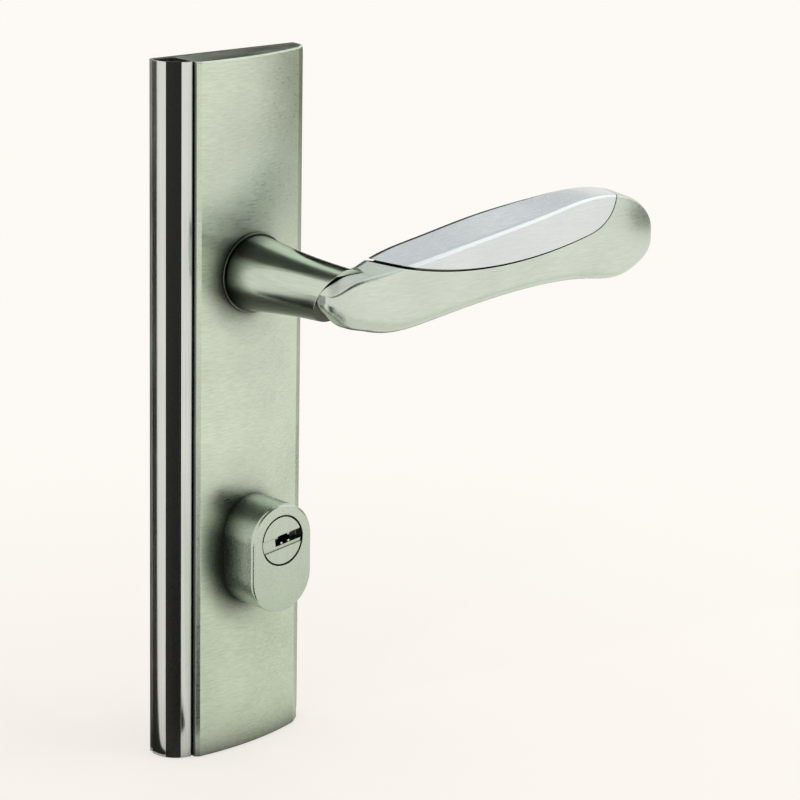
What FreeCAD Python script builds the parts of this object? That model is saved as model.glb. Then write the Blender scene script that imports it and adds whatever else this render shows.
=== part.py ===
import FreeCAD, Part
import math
import os
import Sketcher

# Plate handle lockset: one handle unit of a door set.
# Frame: +X to the right across the plate, -Y out of the door towards the hand, +Z up, millimetres.
# The origin is on the spindle axis, in the plane of the door's face, which the base plate's back touches.
# A depth is measured from that plane towards the hand, so a point at depth 10 has y = -10.

os.makedirs("parts", exist_ok=True)
doc = FreeCAD.newDocument("plate_handle_lockset")
sheet = doc.addObject("Spreadsheet::Sheet", "sizes")

SIZES = {
    # plate as a whole
    "plate_height": 246,
    "plate_width": 65,
    "spindle_below_top": 75,
    "lock_centres": 92,
    "base_thickness": 2.5,
    "base_corner": 3,
    # cover plate, measured from the base plate's left edge
    "cover_left": 8.4,
    "cover_right": 61.4,
    "cover_wall": 2.2,
    "cover_left_depth": 15.2,
    "face_left": 9.7,
    "face_left_depth": 16.15,
    "face_right": 57.2,
    "face_right_depth": 9.9,
    "face_radius": 113,
    "cover_right_depth": 6.6,
    "cover_bevel": 0.5,
    # bead on the left edge
    "bead_right": 7.8,
    "bead_radius": 8.6,
    "bead_side": 2.4,
    "insert_low_angle": 27,
    "insert_high_angle": 63,
    "insert_thickness": 0.9,
    # neck and its bearing
    "neck_radius": 13.2,
    "neck_start": 17.35,
    "neck_overrun": 2,
    "neck_end_radius": 9.7,
    "neck_bulge_radius": 380,
    "mitre_bend_height": 8,
    "mitre_slope": 0.6,
    "mitre_reach": 20,
    "joint_gap": 0.45,
    "heel_cut_right": 2,
    "heel_cut_height": 4,
    "heel_cut_step": 5,
    "neck_edge": 0.5,
    "journal_radius": 10,
    "tail_radius": 8,
    "tail_shoulder": 5,
    "tail_length": 2.4,
    "running_clearance": 0.05,
    "bush_wall": 2.0,
    "bush_start": 10.6,
    "collar_radius": 13.95,
    "collar_front": 17.1,
    "washer_radius": 10.6,
    "washer_thickness": 0.6,
    "axial_play": 0.05,
    "ring_thickness": 1.1,
    "ring_radius": 10.2,
    "ring_groove_radius": 7.3,
    # spindle and the screws of the neck
    "spindle_side": 8,
    "spindle_setback": 22,
    "spindle_reach": 34,
    "slip_clearance": 0.1,
    "grub_depth": 25,
    "grub_radius": 2.5,
    "grub_length": 7,
    "joint_head_radius": 3.5,
    "joint_head_height": 4,
    "joint_shank_radius": 2,
    "joint_length": 13,
    "joint_setback": 14,
    "neck_floor": 3,
    "spigot_radius": 6,
    "spigot_overrun": 1,
    # return mechanism
    "housing_radius": 17.5,
    "housing_wall": 1,
    "housing_floor": 0.8,
    "housing_height": 7.2,
    "disc_radius": 16.2,
    "disc_thickness": 1.4,
    "slot_circle": 12.8,
    "stop_pin_radius": 1.5,
    "stop_angle": -25,
    "lever_travel": 45,
    "wire_radius": 0.6,
    "coil_radius": 12,
    "coil_pitch": 1.65,
    "coil_turns": 2,
    "coil_lift": 0.25,
    "leg_length": 7.2,
    "leg_gap": 0.05,
    "lug_inner": 4.4,
    "lug_outer": 7,
    "lug_top": 14.3,
    # fixings
    "post_above_spindle": 49,
    "post_below_cylinder": 51,
    "post_radius": 4,
    "post_reach": 25,
    "post_tenon_radius": 3,
    "post_thread_radius": 2.1,
    "post_thread_depth": 20,
    "cover_screw_margin": 9,
    "cover_screw_left": -16,
    "cover_screw_right": 19,
    "boss_radius": 3.6,
    "cover_screw_radius": 1.7,
    "cover_screw_length": 10,
    "bead_screw_radius": 1.25,
    "bead_screw_length": 8,
    "bead_screw_offset": 3.9,
    "bead_screw_margin": 16,
    "guard_screw_radius": 1.6,
    "guard_screw_length": 24,
    "guard_screw_across": 9.1,
    "guard_screw_down": 13,
    "head_step": 1.5,
    # guard round the cylinder
    "guard_radius": 13.1,
    "guard_gap": 0.65,
    "guard_drop": 12.9,
    "guard_front": 33,
    "guard_fillet": 1.3,
    "guard_lip": 3.9,
    # profile cylinder
    "profile_radius": 8.5,
    "profile_height": 33,
    "profile_web": 10,
    "profile_clearance": 0.2,
    "cylinder_reach": 30,
    "plug_radius": 6.75,
    "plug_head_radius": 8.45,
    "plug_front_step": 0.15,
    "plug_tilt": 8,
    "keyway_left": -2.9,
    "keyway_right": 6.1,
    "keyway_low": -1.6,
    "keyway_middle": 1.2,
    "keyway_high": 2.1,
    "keyway_ward": -1.6,
    "ward_place": 2.7,
    "ward_width": 0.9,
    "keyway_depth": 26,
    "band_low": -2.8,
    "band_high": 1.9,
    "band_depth": 0.45,
    "drill_pin_radius": 0.65,
    "drill_pin_left": 0.2,
    "drill_pin_pitch": 3.1,
    "drill_pin_length": 4.2,
    "drill_pin_tip": 0.8,
    "drill_pin_inset": 1.5,
    "pin_radius": 1.2,
    "pin_row_left": -1.05,
    "pin_row_right": 2.1,
    "pin_first": 26,
    "pin_pitch": 4,
    "pin_count": 4,
    "pin_tip": 0.55,
    "driver_length": 5,
    "pin_spring_wall": 0.35,
    "chamber_plug_length": 3,
    "cam_width": 10,
    "cam_centre": 20,
    "cam_ring_radius": 8.4,
    "cam_reach": 15,
    "cam_half_width": 3.4,
    "cam_side_gap": 0.15,
    "clip_thickness": 0.8,
    "clip_groove": 0.75,
    "pivot_radius": 3,
    "pivot_length": 3,
    "cylinder_screw_radius": 2.1,
    "cylinder_screw_drop": 20,
    # lever: where its middle plane lies, and its corner radii as shares of half its thickness
    "lever_depth": 64,
    "ridge_share": 0.25,
    "round_share": 0.82,
    "lever_face_radius": 42,
    "cap_thickness": 1.6,
    "cap_gap": 0.35,
    "cap_gap_flare": 2.6,
    # lower edge of the cap, seen from the front
    "cap_start": 6.5,
    "cap_start_height": 13,
    "cap_bend": 106,
    "cap_bend_height": 9.6,
    "cap_end": 121.2,
    "cap_end_height": 22.5,
    "cap_sweep_radius": 185,
    "cap_curl_radius": 22,
}

# stations of the lever: distance from the spindle axis, height of the middle, half height,
# half thickness, and how far the front ridge lies below the top of the back
STATIONS = {
    "heel": (-10, 0.4, 1.75, 2.1, 0.1),
    "cheek": (-8.9, 0.5, 4.0, 3.6, 2.3),
    "root": (-6.4, 0.9, 6.6, 5.2, 4.2),
    "elbow": (-2, 0.2, 9.7, 6.9, 4.0),
    "crook": (5, -1.5, 10.3, 7.9, 1.4),
    "shoulder": (12, -1.4, 12.1, 8.3, 2.4),
    "throat": (34, 1.45, 14.3, 8.6, 4.3),
    "waist": (60, 5.4, 14.8, 8.2, 5.0),
    "middle": (88, 7.9, 15.3, 7.6, 3.8),
    "palm": (112, 7.8, 16.2, 7.0, 1.5),
    "crown": (126.5, 5.9, 15.2, 6.4, 0.7),
    "brow": (135.5, 4.9, 11.1, 5.4, 0.4),
    "tip": (141, 3.8, 6.0, 3.8, 0.2),
    "end": (143, 3.7, 2.6, 2.0, 0.1),
}
STATION_SIZES = ("across", "middle", "half_height", "half_depth", "drop")


def fill_sheet():
    """Write every driving size into the sheet under its own alias."""
    row = 0
    for alias, number in SIZES.items():
        row += 1
        sheet.set("A%d" % row, alias)
        sheet.set("B%d" % row, str(number))
        sheet.setAlias("B%d" % row, alias)
    for station, numbers in STATIONS.items():
        for word, number in zip(STATION_SIZES, numbers):
            row += 1
            alias = station + "_" + word
            sheet.set("A%d" % row, alias)
            sheet.set("B%d" % row, str(number))
            sheet.setAlias("B%d" % row, alias)
    doc.recompute()


def full(expression):
    """Write the aliases in an expression out as cells of the sheet."""
    words = []
    word = ""
    for letter in expression + " ":
        if letter.isalnum() or letter == "_":
            word += letter
            continue
        if word in ALIASES:
            word = "sizes." + word
        words.append(word + letter)
        word = ""
    return "".join(words).strip()


def value(expression):
    """The number that an expression comes to with the present sizes."""
    result = sheet.evalExpression(full(expression))
    return float(getattr(result, "Value", result))


def bind(item, path, expression):
    item.setExpression(path, full(expression))


def lay_forward(item, across, start, up):
    """Place a primitive whose own Z runs out of the door, at a point given by its depth."""
    item.Placement = FreeCAD.Placement(FreeCAD.Vector(), FreeCAD.Rotation(FreeCAD.Vector(1, 0, 0), 90))
    bind(item, "Placement.Base.x", across)
    bind(item, "Placement.Base.y", "0 - (" + start + ")")
    bind(item, "Placement.Base.z", up)


def rod(name, radius, start, end, across="0", up="0"):
    """Round bar along the depth, from one depth to a larger one."""
    item = doc.addObject("Part::Cylinder", name)
    bind(item, "Radius", radius)
    bind(item, "Height", "(" + end + ") - (" + start + ")")
    lay_forward(item, across, start, up)
    return item


def cone(name, start_radius, end_radius, start, end, across="0", up="0"):
    """Tapered bar along the depth."""
    item = doc.addObject("Part::Cone", name)
    bind(item, "Radius1", start_radius)
    bind(item, "Radius2", end_radius)
    bind(item, "Height", "(" + end + ") - (" + start + ")")
    lay_forward(item, across, start, up)
    return item


def upright(name, radius, low, high, across, depth):
    """Round bar along Z."""
    item = doc.addObject("Part::Cylinder", name)
    bind(item, "Radius", radius)
    bind(item, "Height", "(" + high + ") - (" + low + ")")
    bind(item, "Placement.Base.x", across)
    bind(item, "Placement.Base.y", "0 - (" + depth + ")")
    bind(item, "Placement.Base.z", low)
    return item


def block(name, left, right, start, end, low, high):
    """Square-edged block between two places across, two depths and two heights."""
    item = doc.addObject("Part::Box", name)
    bind(item, "Length", "(" + right + ") - (" + left + ")")
    bind(item, "Width", "(" + end + ") - (" + start + ")")
    bind(item, "Height", "(" + high + ") - (" + low + ")")
    bind(item, "Placement.Base.x", left)
    bind(item, "Placement.Base.y", "0 - (" + end + ")")
    bind(item, "Placement.Base.z", low)
    return item


def fuse(name, *items):
    item = doc.addObject("Part::MultiFuse", name)
    item.Shapes = list(items)
    return item


def group(name, items):
    """Separate solids kept under one name."""
    item = doc.addObject("Part::Compound", name)
    item.Links = list(items)
    return item


def cut(name, base, *tools):
    item = doc.addObject("Part::Cut", name)
    item.Base = base
    item.Tool = tools[0] if len(tools) == 1 else fuse(name + "_tools", *tools)
    return item


def common(name, *items):
    item = doc.addObject("Part::MultiCommon", name)
    item.Shapes = list(items)
    return item


def arc_between(first, last, radius, side):
    """Arc of under half a circle that bulges to the left of the way from first to last when side is 1."""
    chord = last - first
    half = chord.Length / 2
    away = math.sqrt(max(radius * radius - half * half, 0))
    right = FreeCAD.Vector(chord.y, -chord.x, 0).normalize()
    centre = first + chord * 0.5 + right * (away * side)
    angles = [math.atan2(end.y - centre.y, end.x - centre.x) for end in (first, last)]
    if side > 0:
        angles.reverse()
    if angles[1] < angles[0]:
        angles[1] += 2 * math.pi
    circle = Part.Circle(centre, FreeCAD.Vector(0, 0, 1), radius)
    return Part.ArcOfCircle(circle, angles[0], angles[1])


def outline(sketch, corners, arcs=None):
    """Closed outline through corners given as expressions; arcs maps an edge to its radius and side."""
    arcs = arcs or {}
    places = [FreeCAD.Vector(value(x), value(y), 0) for x, y in corners]
    ends = []
    for number, first in enumerate(places):
        last = places[(number + 1) % len(places)]
        if number in arcs:
            radius, side = arcs[number]
            index = sketch.addGeometry(arc_between(first, last, value(radius), side), False)
            hold = sketch.addConstraint(Sketcher.Constraint("Radius", index, value(radius)))
            bind(sketch, "Constraints[%d]" % hold, radius)
            ends.append((index, 2, 1) if side > 0 else (index, 1, 2))
        else:
            ends.append((sketch.addGeometry(Part.LineSegment(first, last), False), 1, 2))
    for number, (index, start, end) in enumerate(ends):
        before, unused, last_end = ends[number - 1]
        sketch.addConstraint(Sketcher.Constraint("Coincident", before, last_end, index, start))
        for kind, expression in zip(("DistanceX", "DistanceY"), corners[number]):
            hold = sketch.addConstraint(Sketcher.Constraint(kind, index, start, value(expression)))
            bind(sketch, "Constraints[%d]" % hold, expression)


def sketch_in(body, name, role, offset="0"):
    """Sketch on one of the body's own origin planes, moved along the plane's normal."""
    sketch = body.newObject("Sketcher::SketchObject", name)
    plane = [item for item in body.Origin.OriginFeatures if item.Role == role][0]
    sketch.AttachmentSupport = [(plane, "")]
    sketch.MapMode = "FlatFace"
    bind(sketch, "AttachmentOffset.Base.z", offset)
    return sketch


def pad(name, role, corners, arcs, start, end):
    """Body made of one padded outline, from one place along the plane's normal to a further one."""
    body = doc.addObject("PartDesign::Body", name)
    sketch = sketch_in(body, name + "_outline", role, start)
    outline(sketch, corners, arcs)
    feature = body.newObject("PartDesign::Pad", name + "_pad")
    feature.Profile = sketch
    bind(feature, "Length", "(" + end + ") - (" + start + ")")
    return body


def turned(name, corners, arcs=None):
    """Body turned round the spindle axis; corners are pairs of radius and depth."""
    body = doc.addObject("PartDesign::Body", name)
    sketch = sketch_in(body, name + "_outline", "XY_Plane")
    outline(sketch, [(radius, "0 - (" + depth + ")") for radius, depth in corners], arcs)
    feature = body.newObject("PartDesign::Revolution", name + "_turned")
    feature.Profile = sketch
    feature.ReferenceAxis = (sketch, ["V_Axis"])
    feature.Angle = 360
    return body


def round_edges(body, name, size, chosen, kind="PartDesign::Fillet"):
    """Fillet or chamfer the edges of a body's last feature that a test picks."""
    doc.recompute()
    base = body.Tip
    names = ["Edge%d" % (i + 1) for i, edge in enumerate(base.Shape.Edges) if chosen(edge)]
    feature = body.newObject(kind, name)
    feature.Base = (base, names)
    bind(feature, "Radius" if kind.endswith("Fillet") else "Size", size)
    return feature


nodes = []


def node(item, label):
    """Give a finished piece the label that names its file."""
    item.Label = label
    nodes.append(item)
    return item


ALIASES = set(SIZES)
for station_name in STATIONS:
    ALIASES.update(station_name + "_" + word for word in STATION_SIZES)
fill_sheet()

# places that several pieces share
LEFT = "(0 - plate_width / 2)"
RIGHT = "(plate_width / 2)"
TOP = "(spindle_below_top)"
BOTTOM = "(spindle_below_top - plate_height)"
CYLINDER = "(0 - lock_centres)"
BUSH_RADIUS = "(journal_radius + bush_wall)"
PROFILE_TAIL = "(profile_height - profile_radius)"
WEB = "(profile_web / 2)"


# base plate, cover and bead
def cover_section(wall):
    """Corners and arcs of the cover's section, inside the outer skin by a wall."""
    left = LEFT + " + cover_left + " + wall
    corners = [
        (left, "0 - base_thickness"),
        (left, "0 - (cover_left_depth - " + wall + ")"),
        (LEFT + " + face_left + " + wall + " / 2", "0 - (face_left_depth - " + wall + ")"),
        (LEFT + " + face_right - " + wall + " / 2", "0 - (face_right_depth - " + wall + ")"),
        (LEFT + " + cover_right - " + wall, "0 - (cover_right_depth - " + wall + " / 2)"),
        (LEFT + " + cover_right - " + wall, "0 - base_thickness"),
    ]
    return corners, {2: ("face_radius - " + wall, -1)}


def cover_solid(name, wall):
    """Outer form of the cover, or its hollow, between the plate's ends."""
    corners, arcs = cover_section(wall)
    return pad(name, "XY_Plane", corners, arcs, BOTTOM + " + " + wall, TOP + " - " + wall)


def is_end_edge(edge):
    """Long front edge of the cover at its upper or lower end."""
    box = edge.BoundBox
    at_end = min(abs(box.ZMin - value(TOP)), abs(box.ZMin - value(BOTTOM))) < 0.01
    return at_end and box.ZLength < 0.01 and box.YMin < -value("base_thickness") - 0.1 and box.XLength > 0.1


cover_outer = cover_solid("cover_outer", "0")
round_edges(cover_outer, "cover_end_bevel", "cover_bevel", is_end_edge, "PartDesign::Chamfer")
cover_skin = cover_solid("cover_skin", "0")
cover_hollow = cover_solid("cover_hollow", "cover_wall")

screw_places = []
for across in ("cover_screw_left", "cover_screw_right"):
    for up in (TOP + " - cover_screw_margin", BOTTOM + " + cover_screw_margin"):
        screw_places.append((across, up))
bosses = []
for number, (across, up) in enumerate(screw_places):
    bosses.append(rod("boss%d" % number, "boss_radius", "base_thickness", "face_left_depth", across, up))
cover_bosses = common("cover_bosses", cover_skin, fuse("boss_bars", *bosses))
cover_shell = fuse("cover_shell", cut("cover_walls", cover_outer, cover_hollow), cover_bosses)


def profile_hole(name, clearance, start, end):
    """Bar of the cylinder's profile, a clearance larger all round, between two depths."""
    edge = "(" + WEB + " + " + clearance + ")"
    reach = "(profile_radius + " + clearance + ")"
    drop = CYLINDER + " - " + PROFILE_TAIL + " + " + WEB
    corners = [
        (edge, CYLINDER + " - sqrt(" + reach + " * " + reach + " - " + edge + " * " + edge + ")"),
        (edge, drop),
        ("0 - " + edge, drop),
        ("0 - " + edge, CYLINDER + " - sqrt(" + reach + " * " + reach + " - " + edge + " * " + edge + ")"),
    ]
    web = pad(name + "_web", "XZ_Plane", corners, None, start, end)
    foot = rod(name + "_foot", edge, start, end, "0", drop)
    head = rod(name + "_head", reach, start, end, "0", CYLINDER)
    return fuse(name, web, foot, head)


def countersunk(name, radius, length, across, up, reach="0"):
    """Countersunk screw put in from the door's side, head flush with the base plate's back."""
    head = cone(name + "_head", radius + " + head_step", radius, "0", "head_step", across, up)
    shank = rod(name + "_shank", radius, reach, length, across, up)
    return fuse(name, head, shank)


def screw_set(name, radius, length, places):
    return [countersunk("%s%d" % (name, number), radius, length, across, up)
            for number, (across, up) in enumerate(places)]


bead_x = LEFT + " + bead_screw_offset"
bead_places = [(bead_x, TOP + " - bead_screw_margin"), (bead_x, CYLINDER + " / 2"),
               (bead_x, BOTTOM + " + bead_screw_margin")]
guard_places = [("0 - guard_screw_across", CYLINDER + " - guard_screw_down"),
                ("guard_screw_across", CYLINDER + " - guard_screw_down")]
cover_screws = screw_set("cover_screw", "cover_screw_radius", "cover_screw_length", screw_places)
bead_screws = screw_set("bead_screw", "bead_screw_radius", "bead_screw_length", bead_places)
guard_screws = screw_set("guard_screw", "guard_screw_radius", "guard_screw_length", guard_places)
all_screws = group("all_screws", cover_screws + bead_screws + guard_screws)

# the cover has a round window for the bush, a profile window for the cylinder and blind screw holes
neck_window = rod("neck_window", BUSH_RADIUS, "base_thickness", "guard_front", "0", "0")
cover_profile = profile_hole("cover_profile", "profile_clearance", "base_thickness", "guard_front")
node(cut("cover_cut", cover_shell, neck_window, cover_profile, *(cover_screws + guard_screws)),
     "cover_plate")

post_places = [("0", "post_above_spindle"), ("0", CYLINDER + " - post_below_cylinder")]
stop_places = []
for turn in ("stop_angle", "stop_angle + 180"):
    stop_places.append(("slot_circle * cos(" + turn + ")", "slot_circle * sin(" + turn + ")"))

base_corners = [
    (LEFT, BOTTOM),
    (RIGHT + " - base_corner", BOTTOM),
    (RIGHT, BOTTOM + " + base_corner"),
    (RIGHT, TOP + " - base_corner"),
    (RIGHT + " - base_corner", TOP),
    (LEFT, TOP),
]
base_arcs = {1: ("base_corner", -1), 3: ("base_corner", -1)}
base_blank = pad("base_blank", "XZ_Plane", base_corners, base_arcs, "0", "base_thickness")
base_holes = [rod("tail_hole", "tail_radius + running_clearance", "0", "base_thickness"),
              profile_hole("base_profile", "profile_clearance", "0", "base_thickness")]
for number, (across, up) in enumerate(post_places):
    base_holes.append(rod("tenon_hole%d" % number, "post_tenon_radius", "0", "base_thickness", across, up))
for number, (across, up) in enumerate(stop_places):
    base_holes.append(rod("stop_hole%d" % number, "stop_pin_radius", "0", "base_thickness", across, up))
base_tools = base_holes + cover_screws + bead_screws + guard_screws
node(cut("base_cut", base_blank, *base_tools), "base_plate")

bead_corners = [
    (LEFT + " + bead_right - bead_radius", "0 - base_thickness"),
    (LEFT + " + bead_right - bead_radius", "0 - (base_thickness + bead_side)"),
    (LEFT + " + bead_right", "0 - (base_thickness + bead_side + bead_radius)"),
    (LEFT + " + bead_right", "0 - base_thickness"),
]
bead_blank = pad("bead_blank", "XY_Plane", bead_corners, {1: ("bead_radius", -1)}, BOTTOM, TOP)


def on_bead(radius, angle):
    """Point of the bead's section at a radius and at an angle up from its left side."""
    across = LEFT + " + bead_right - (" + radius + ") * cos(" + angle + ")"
    depth = "base_thickness + bead_side + (" + radius + ") * sin(" + angle + ")"
    return across, "0 - (" + depth + ")"


insert_corners = [
    on_bead("bead_radius", "insert_low_angle"),
    on_bead("bead_radius", "insert_high_angle"),
    on_bead("bead_radius - insert_thickness", "insert_high_angle"),
    on_bead("bead_radius - insert_thickness", "insert_low_angle"),
]
insert_arcs = {0: ("bead_radius", -1), 2: ("bead_radius - insert_thickness", 1)}
insert = pad("insert_strip", "XY_Plane", insert_corners, insert_arcs, BOTTOM, TOP)
node(insert, "bead_insert")
node(cut("bead_cut", bead_blank, insert, *bead_screws), "edge_bead")
node(group("cover_screw_set", cover_screws), "cover_screws")
node(group("bead_screw_set", bead_screws), "bead_screws")
node(group("guard_screw_set", guard_screws), "guard_screws")

posts = []
for number, (across, up) in enumerate(post_places):
    name = "post%d" % number
    barrel = rod(name + "_barrel", "post_radius", "0 - post_reach", "0", across, up)
    tenon = rod(name + "_tenon", "post_tenon_radius", "0", "base_thickness", across, up)
    thread = rod(name + "_thread", "post_thread_radius", "0 - post_reach",
                 "post_thread_depth - post_reach", across, up)
    posts.append(cut(name, fuse(name + "_bar", barrel, tenon), thread))
node(group("post_pair", posts), "bolt_posts")

# neck, its bearing and what holds it in the base plate
collar = rod("collar_bar", "collar_radius", "base_thickness", "collar_front")
collar_hole = rod("collar_hole", BUSH_RADIUS, "base_thickness", "collar_front")
node(cut("collar_cut", collar, collar_hole, cover_skin), "neck_collar")
bush = rod("bush_bar", BUSH_RADIUS, "bush_start", "collar_front")
bush_hole = rod("bush_hole", "journal_radius + running_clearance", "bush_start", "collar_front")
node(cut("bush_cut", bush, bush_hole), "neck_bush")

# the neck and what it holds end at fixed distances from the lever's middle plane
NECK_END = "(lever_depth + neck_overrun)"
SPINDLE_END = "(lever_depth - spindle_setback)"
JOINT_SEAT = "(lever_depth - joint_setback)"
SOCKET = "(" + JOINT_SEAT + " + neck_floor)"
neck_corners = [
    ("0", "0 - tail_length"),
    ("tail_radius", "0 - tail_length"),
    ("tail_radius", "0 - (axial_play + washer_thickness + ring_thickness)"),
    ("ring_groove_radius", "0 - (axial_play + washer_thickness + ring_thickness)"),
    ("ring_groove_radius", "0 - (axial_play + washer_thickness)"),
    ("tail_radius", "0 - (axial_play + washer_thickness)"),
    ("tail_radius", "tail_shoulder"),
    ("journal_radius", "tail_shoulder"),
    ("journal_radius", "neck_start"),
    ("neck_radius - neck_edge", "neck_start"),
    ("neck_radius", "neck_start + neck_edge"),
    ("neck_end_radius", NECK_END),
    ("0", NECK_END),
]
neck_turned = turned("neck_blank", neck_corners, {10: ("neck_bulge_radius", -1)})


def mitre_region(name, gap, far):
    """Bar on one side of the slope on which lever and neck meet, a gap in front of that slope."""
    foot = NECK_END + " - mitre_slope * (mitre_bend_height + mitre_reach)"
    corners = [
        ("0 - (" + NECK_END + " + " + gap + ")", "mitre_reach"),
        ("0 - (" + NECK_END + " + " + gap + ")", "mitre_bend_height"),
        ("0 - (" + foot + " + " + gap + ")", "0 - mitre_reach"),
        ("0 - " + far, "0 - mitre_reach"),
        ("0 - " + far, "mitre_reach"),
    ]
    return pad(name, "YZ_Plane", corners, None, "0 - mitre_reach", "mitre_reach")


# the neck's end slopes back towards the door below the bend, and the lever's heel lies a gap in front
mitre_front = mitre_region("mitre_front", "0", "2 * lever_depth")
neck_solid = cut("neck_solid", neck_turned, mitre_front)
HOLE = "(spindle_side / 2 + slip_clearance / 2)"
neck_square = block("neck_square", "0 - " + HOLE, HOLE, "0 - tail_length", SPINDLE_END,
                    "0 - " + HOLE, HOLE)
neck_bore = rod("neck_bore", "joint_head_radius + slip_clearance", SPINDLE_END, JOINT_SEAT)
joint_hole = rod("joint_hole", "joint_shank_radius + slip_clearance", JOINT_SEAT, SOCKET)
neck_socket = rod("neck_socket", "spigot_radius + slip_clearance", SOCKET, NECK_END)
grub_hole = upright("grub_hole", "grub_radius", "0 - neck_radius", "0", "0", "grub_depth")
node(cut("neck_cut", neck_solid, neck_square, neck_bore, joint_hole, neck_socket, grub_hole),
     "handle_neck")

spindle = block("spindle_bar", "0 - spindle_side / 2", "spindle_side / 2", "0 - spindle_reach",
                SPINDLE_END, "0 - spindle_side / 2", "spindle_side / 2")
node(spindle, "spindle")
grub = upright("grub_bar", "grub_radius", "0 - (spindle_side / 2 + grub_length)", "0 - spindle_side / 2",
               "0", "grub_depth")
node(grub, "spindle_grub_screw")
joint_head = rod("joint_head", "joint_head_radius", JOINT_SEAT + " - joint_head_height", JOINT_SEAT)
joint_shank = rod("joint_shank", "joint_shank_radius", JOINT_SEAT, JOINT_SEAT + " + joint_length")
joint_screw = fuse("joint_bar", joint_head, joint_shank)
node(joint_screw, "lever_joint_screw")

WASHER_BACK = "0 - (axial_play + washer_thickness)"
washer = rod("washer_bar", "washer_radius", WASHER_BACK, "0 - axial_play")
washer_hole = rod("washer_hole", "tail_radius + running_clearance", WASHER_BACK, "0 - axial_play")
node(cut("washer_cut", washer, washer_hole), "thrust_washer")
RING_BACK = "0 - (axial_play + washer_thickness + ring_thickness)"
ring = rod("ring_bar", "ring_radius", RING_BACK, WASHER_BACK)
ring_hole = rod("ring_hole", "ring_groove_radius", RING_BACK, WASHER_BACK)
ring_mouth = block("ring_mouth", "0 - ring_groove_radius / 2", "ring_groove_radius / 2",
                   RING_BACK, WASHER_BACK, "0 - ring_radius", "0")
node(cut("ring_cut", ring, ring_hole, ring_mouth), "retaining_ring")

# return mechanism between the base plate and the cover
HOUSING_FRONT = "(base_thickness + housing_height)"
DISC_BACK = "(tail_shoulder - disc_thickness)"
COIL_START = "(tail_shoulder + coil_lift + wire_radius)"
LEG_TOP = "(coil_radius + wire_radius + leg_gap)"
housing_bar = rod("housing_bar", "housing_radius", "base_thickness", HOUSING_FRONT)
housing_hollow = rod("housing_hollow", "housing_radius - housing_wall",
                     "base_thickness + housing_floor", HOUSING_FRONT)
housing_tab = block("housing_tab", "0 - lug_outer", "0 - lug_inner", "tail_shoulder + coil_lift",
                    HOUSING_FRONT, LEG_TOP, "housing_radius - 2 * housing_wall")
housing_eye = rod("housing_eye", "tail_radius + running_clearance", "base_thickness",
                  "base_thickness + housing_floor")
housing_holes = []
stop_pins = []
for number, (across, up) in enumerate(stop_places):
    housing_holes.append(rod("housing_hole%d" % number, "stop_pin_radius", "base_thickness",
                             "base_thickness + housing_floor", across, up))
    stop_pins.append(rod("stop_pin%d" % number, "stop_pin_radius", "0", "tail_shoulder", across, up))
housing_shell = fuse("housing_shell", cut("housing_cup", housing_bar, housing_hollow), housing_tab)
node(cut("housing_cut", housing_shell, housing_eye, *housing_holes), "spring_housing")
node(group("stop_pin_pair", stop_pins), "stop_pins")


def arc_slot(name, start_angle):
    """Curved slot in the disc that lets a stop pin run through the lever's travel."""
    half = "(stop_pin_radius + slip_clearance)"
    end_angle = "(" + start_angle + " + lever_travel)"
    inner = "(slot_circle - " + half + ")"
    outer = "(slot_circle + " + half + ")"
    corners = []
    for radius, angle in ((inner, start_angle), (outer, start_angle), (outer, end_angle), (inner, end_angle)):
        corners.append((radius + " * cos(" + angle + ")", radius + " * sin(" + angle + ")"))
    arcs = {1: (outer, -1), 3: (inner, 1)}
    middle = pad(name + "_run", "XZ_Plane", corners, arcs, DISC_BACK, "tail_shoulder")
    ends = []
    for word, angle in (("first", start_angle), ("last", end_angle)):
        ends.append(rod(name + "_" + word, half, DISC_BACK, "tail_shoulder",
                        "slot_circle * cos(" + angle + ")", "slot_circle * sin(" + angle + ")"))
    return fuse(name, middle, *ends)


slot_tools = [arc_slot("slot_right", "stop_angle"), arc_slot("slot_left", "(stop_angle + 180)")]
disc_bar = rod("disc_bar", "disc_radius", DISC_BACK, "tail_shoulder")
disc_eye = rod("disc_eye", "tail_radius", DISC_BACK, "tail_shoulder")
disc_lug = block("disc_lug", "lug_inner", "lug_outer", "tail_shoulder",
                 COIL_START + " + coil_turns * coil_pitch + wire_radius", LEG_TOP, "lug_top")
node(fuse("disc_fused", cut("disc_cut", disc_bar, disc_eye, *slot_tools), disc_lug), "drive_disc")


def helix_point(radius, start, rise, turn):
    """Point of the spring's coil after some turns clockwise from the top, seen from the hand's side."""
    angle = math.pi / 2 - 2 * math.pi * turn
    return FreeCAD.Vector(radius * math.cos(angle), -(start + rise * turn), radius * math.sin(angle))


def spring_shape():
    """Torsion spring: leg, turns and leg of one wire, its legs leaving at a tangent."""
    radius = value("coil_radius")
    start = value(COIL_START)
    pitch = value("coil_pitch")
    halves = round(2 * value("coil_turns"))
    leg = FreeCAD.Vector(value("leg_length"), 0, 0)
    first = helix_point(radius, start, pitch, 0)
    edges = [Part.LineSegment(first - leg, first).toShape()]
    for number in range(halves):
        stops = [helix_point(radius, start, pitch, (number + part) / 2) for part in (0, 0.5, 1)]
        edges.append(Part.Arc(*stops).toShape())
    last = helix_point(radius, start, pitch, halves / 2)
    edges.append(Part.LineSegment(last, last + leg).toShape())
    path = Part.Wire(edges)
    ring_wire = Part.Wire([Part.makeCircle(value("wire_radius"), first - leg, leg)])
    shell = Part.BRepOffsetAPI.MakePipeShell(path)
    shell.add(ring_wire)
    shell.build()
    shell.makeSolid()
    print("return spring: gap between turns", round(pitch - 2 * value("wire_radius"), 3))
    return shell.shape()


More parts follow.
